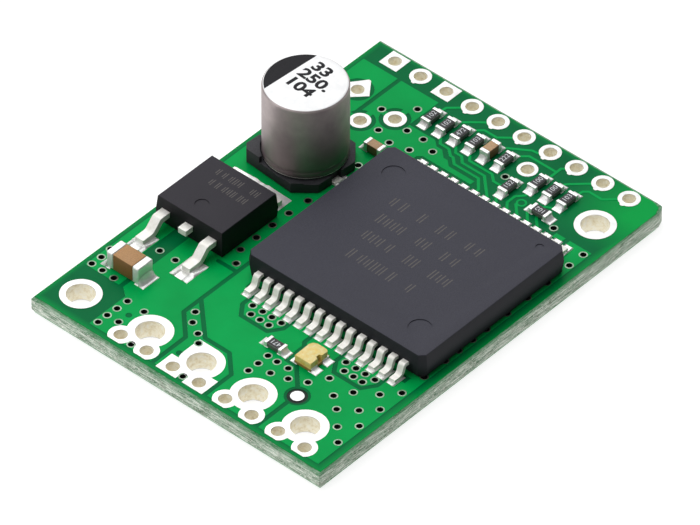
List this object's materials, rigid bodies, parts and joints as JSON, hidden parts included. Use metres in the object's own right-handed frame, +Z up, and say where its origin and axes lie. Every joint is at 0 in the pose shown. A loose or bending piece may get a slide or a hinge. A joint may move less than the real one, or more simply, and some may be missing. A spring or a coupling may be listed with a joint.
{
  "type": "motor driver module",
  "caption": "Small rectangular circuit board that drives a motor: a wide flat driver chip, a tabbed power transistor, an upright round capacitor and rows of plated holes.",
  "frame": {"origin": "centre of the board's bottom face", "axes": "+X along the long side from the power end to the header end, +Z up from the board to its parts"},
  "size_m": [0.0382, 0.028, 0.0092],
  "materials": {
    "tinned_copper": "bright tin over copper",
    "dielectric_ceramic": "fired tan ceramic",
    "tin_plate": "matte tin plate",
    "base_plastic": "moulded black plastic",
    "can_aluminium": "drawn and coated aluminium",
    "black_ink": "printed ink",
    "seal_rubber": "moulded rubber",
    "solder": "reflowed solder",
    "foil_winding": "etched foil and paper, wound",
    "copper": "copper foil, hidden under the mask",
    "mould_compound": "matte black moulding compound",
    "aluminium_wire": "drawn wire",
    "silicon": "polished silicon",
    "lead_frame_copper": "bare copper alloy",
    "laminate": "glass fibre and epoxy, sawn and scored edges",
    "resistor": "black glaze over ceramic, tinned ends",
    "solder_mask": "glossy green mask",
    "light_board": "pale laminate",
    "amber_resin": "clear amber epoxy"
  },
  "bodies": {
    "root": {"alignment_mark": "tinned_copper", "bulk_ceramic_body": "dielectric_ceramic", "bulk_ceramic_end_caps": "tin_plate", "bypass_ceramic_body": "dielectric_ceramic", "bypass_ceramic_end_caps": "tin_plate", "capacitor_base": "base_plastic", "capacitor_can": "can_aluminium", "capacitor_polarity_mark": "black_ink", "capacitor_seal": "seal_rubber", "capacitor_solder": "solder", "capacitor_terminals": "tin_plate", "capacitor_winding": "foil_winding", "chip_part_solder": "solder", "copper_bottom": "copper", "copper_top": "copper", "driver_chip_body": "mould_compound", "driver_chip_bond_wires": "aluminium_wire", "driver_chip_dies": "silicon", "driver_chip_logic_leads": "tin_plate", "driver_chip_output_a_heat_slug": "lead_frame_copper", "driver_chip_output_b_heat_slug": "lead_frame_copper", "driver_chip_power_leads": "tin_plate", "driver_chip_solder": "solder", "driver_chip_supply_heat_slug": "lead_frame_copper", "filter_ceramic_body": "dielectric_ceramic", "filter_ceramic_end_caps": "tin_plate", "ground_input_pad": "tinned_copper", "header_pads": "tinned_copper", "motor_output_a_pad": "tinned_copper", "motor_output_b_pad": "tinned_copper", "mounting_hole_rings": "tinned_copper", "pcb_laminate": "laminate", "resistor_01": "resistor", "resistor_02": "resistor", "resistor_03": "resistor", "resistor_04": "resistor", "resistor_05": "resistor", "resistor_06": "resistor", "resistor_07": "resistor", "resistor_08": "resistor", "resistor_09": "resistor", "resistor_10": "resistor", "resistor_11": "resistor", "solder_mask_bottom": "solder_mask", "solder_mask_top": "solder_mask", "spare_hole_pads": "tinned_copper", "status_light_base": "light_board", "status_light_dies": "silicon", "status_light_lens": "amber_resin", "status_light_terminals": "tin_plate", "supply_input_pad": "tinned_copper", "transistor_body": "mould_compound", "transistor_die": "silicon", "transistor_gate_lead": "tin_plate", "transistor_solder": "solder", "transistor_source_clip": "lead_frame_copper", "transistor_source_lead": "tin_plate", "transistor_tab": "tin_plate", "via_barrels": "tinned_copper"}
  },
  "joints": []
}
